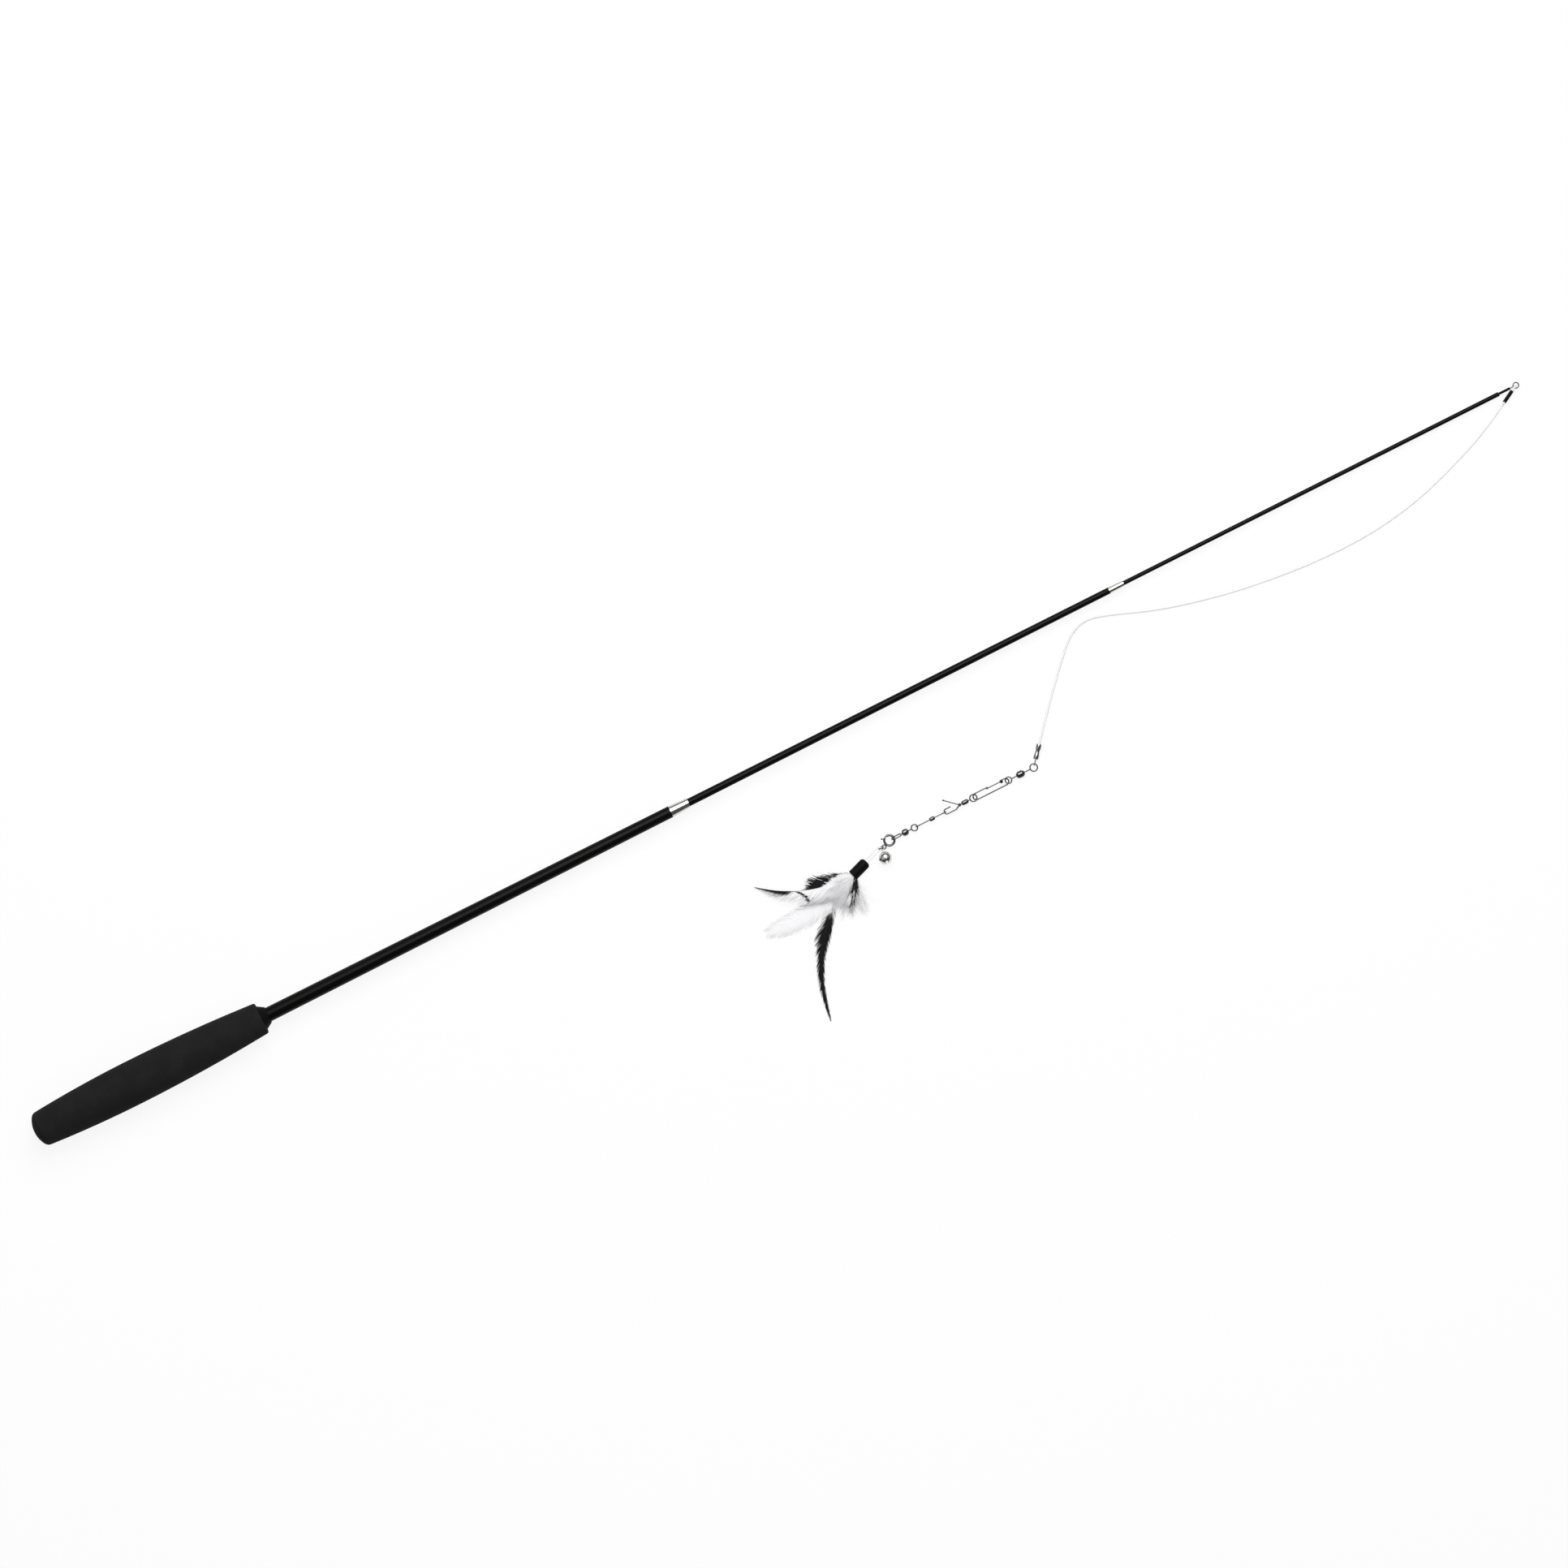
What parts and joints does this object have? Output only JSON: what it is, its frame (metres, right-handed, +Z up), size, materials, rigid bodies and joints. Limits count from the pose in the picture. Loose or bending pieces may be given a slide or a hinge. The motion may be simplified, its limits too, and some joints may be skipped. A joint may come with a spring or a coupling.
{
  "type": "cat teaser wand",
  "caption": "Telescopic cat teaser wand with a foam grip, tapered black sections, a white cord, a chain of swivels and snaps, a jingle bell and a feather lure.",
  "frame": {"origin": "centre of the grip's flat butt face, on the wand's axis", "axes": "+X along the wand to its tip as it lies on a table, +Z up from the table, +Y to the side away from the lure"},
  "size_m": [0.9699, 0.1645, 0.0261],
  "materials": {
    "grip_foam": "matte closed-cell foam",
    "collar_black": "matte",
    "rod_black": "satin lacquer",
    "bush_plastic": "moulded",
    "ferrule_nickel": "polished nickel",
    "sleeve_black": "matte",
    "cord_white": "braided",
    "chain_nickel": "polished nickel",
    "bell_nickel": "polished nickel",
    "cap_black": "matte",
    "thread_clear": "clear line",
    "feather_mixed": "white with black",
    "feather_white": "white feather",
    "feather_black": "black feather",
    "fluff_white": "white down"
  },
  "bodies": {
    "handle": {"grip": "grip_foam", "grip_collar": "collar_black", "butt_plug": "bush_plastic", "butt_section": "rod_black", "butt_ferrule": "ferrule_nickel"},
    "middle": {"middle_section": "rod_black", "middle_bush": "bush_plastic", "middle_ferrule": "ferrule_nickel"},
    "tip": {"tip_section": "rod_black", "tip_bush": "bush_plastic", "tip_shrink_sleeve": "sleeve_black", "tip_eye": "chain_nickel", "cord_loop": "cord_white", "loop_sleeve": "sleeve_black", "cord": "cord_white", "cord_crimp": "chain_nickel"},
    "upper_swivel": {"upper_swivel_eye_a": "chain_nickel", "upper_swivel_eye_b": "chain_nickel"},
    "upper_barrel": {"upper_swivel_barrel": "chain_nickel"},
    "upper_snap": {"upper_snap_wire": "chain_nickel"},
    "upper_arm": {"upper_snap_arm": "chain_nickel"},
    "lower_snap": {"lower_swivel_eye": "chain_nickel", "lower_snap_wire": "chain_nickel"},
    "lower_barrel": {"lower_swivel_barrel": "chain_nickel"},
    "lower_arm": {"lower_snap_arm": "chain_nickel"},
    "link_swivel": {"link_swivel_eye_a": "chain_nickel", "link_swivel_eye_b": "chain_nickel"},
    "link_barrel": {"link_swivel_barrel": "chain_nickel"},
    "lure_swivel": {"lure_swivel_eye": "chain_nickel"},
    "lure_barrel": {"lure_swivel_barrel": "chain_nickel"},
    "lure_link": {"lure_swivel_loop": "chain_nickel"},
    "clasp": {"clasp_ring": "chain_nickel"},
    "trigger": {"clasp_trigger": "chain_nickel"},
    "jump": {"jump_ring": "chain_nickel"},
    "bell": {"bell_back": "bell_nickel", "bell_front": "bell_nickel"},
    "ball": {"bell_ball": "bell_nickel"},
    "lure": {"lure_cap": "cap_black", "lure_loop": "thread_clear", "feather_left": "feather_mixed", "feather_pale": "feather_white", "feather_tail": "feather_black", "feather_side": "feather_mixed", "fluff": "fluff_white"}
  },
  "joints": [
    {"name": "middle_slide", "type": "slide", "parent": "handle", "child": "middle", "axis": [0.9999, 0, -0.0119], "range_m": [-0.26, 0]},
    {"name": "tip_slide", "type": "slide", "parent": "middle", "child": "tip", "axis": [0.9999, 0, -0.0119], "range_m": [-0.23, 0]},
    {"name": "upper_swivel_swing", "type": "hinge", "parent": "tip", "child": "upper_swivel", "pos_m": [0.6159, -0.0725, -0.01174], "axis": [0, 0, 1], "range_deg": [-15, 60]},
    {"name": "upper_barrel_spin", "type": "hinge", "parent": "upper_swivel", "child": "upper_barrel", "pos_m": [0.6072, -0.0725, -0.01174], "axis": [-1, 0, 0], "continuous": true},
    {"name": "upper_snap_swing", "type": "hinge", "parent": "upper_swivel", "child": "upper_snap", "pos_m": [0.5994, -0.0725, -0.01174], "axis": [0, 0, -1], "range_deg": [-45, 17]},
    {"name": "upper_arm_open", "type": "hinge", "parent": "upper_snap", "child": "upper_arm", "pos_m": [0.59525, -0.07057, -0.01039], "axis": [0, 0.5736, -0.8192], "range_deg": [0, 30]},
    {"name": "lower_swivel_swing", "type": "hinge", "parent": "upper_snap", "child": "lower_snap", "pos_m": [0.5764, -0.0725, -0.01174], "axis": [0, 0, 1], "range_deg": [-20, 45]},
    {"name": "lower_barrel_spin", "type": "hinge", "parent": "lower_snap", "child": "lower_barrel", "pos_m": [0.573, -0.0725, -0.01174], "axis": [-1, 0, 0], "continuous": true},
    {"name": "lower_arm_open", "type": "hinge", "parent": "lower_snap", "child": "lower_arm", "pos_m": [0.5674, -0.0725, -0.01174], "axis": [0, 0, 1], "range_deg": [-28, 15]},
    {"name": "link_swivel_swing", "type": "hinge", "parent": "lower_snap", "child": "link_swivel", "pos_m": [0.559, -0.0725, -0.01174], "axis": [0, 0, -1], "range_deg": [-45, 24]},
    {"name": "link_barrel_spin", "type": "hinge", "parent": "link_swivel", "child": "link_barrel", "pos_m": [0.55105, -0.0725, -0.01174], "axis": [-1, 0, 0], "continuous": true},
    {"name": "lure_swivel_swing", "type": "hinge", "parent": "link_swivel", "child": "lure_swivel", "pos_m": [0.53785, -0.0725, -0.01174], "axis": [0, 0, 1], "range_deg": [-30, 45]},
    {"name": "lure_barrel_spin", "type": "hinge", "parent": "lure_swivel", "child": "lure_barrel", "pos_m": [0.5338, -0.0725, -0.01174], "axis": [-1, 0, 0], "continuous": true},
    {"name": "lure_twist", "type": "hinge", "parent": "lure_swivel", "child": "lure_link", "pos_m": [0.5298, -0.0725, -0.01174], "axis": [-1, 0, 0], "range_deg": [0, 150]},
    {"name": "clasp_swing", "type": "hinge", "parent": "lure_link", "child": "clasp", "pos_m": [0.5214, -0.0725, -0.01174], "axis": [0, 0, -1], "range_deg": [-45, 35]},
    {"name": "trigger_slide", "type": "hinge", "parent": "clasp", "child": "trigger", "pos_m": [0.5214, -0.0725, -0.01174], "axis": [0, 0, 1], "range_deg": [0, 30]},
    {"name": "jump_swing", "type": "hinge", "parent": "clasp", "child": "jump", "pos_m": [0.5169, -0.07457, -0.01174], "axis": [0, 0, -1], "range_deg": [0, 30]},
    {"name": "bell_swing", "type": "hinge", "parent": "jump", "child": "bell", "pos_m": [0.51521, -0.07442, -0.01004], "axis": [-0.9962, 0.0872, 0], "range_deg": [0, 80]},
    {"name": "ball_roll", "type": "slide", "parent": "bell", "child": "ball", "axis": [-0.0871, -0.995, 0.0484], "range_m": [-0.0008, 0.0008]},
    {"name": "lure_swing", "type": "hinge", "parent": "jump", "child": "lure", "pos_m": [0.51352, -0.07427, -0.01174], "axis": [0, 0, 1], "range_deg": [-30, 8]}
  ]
}
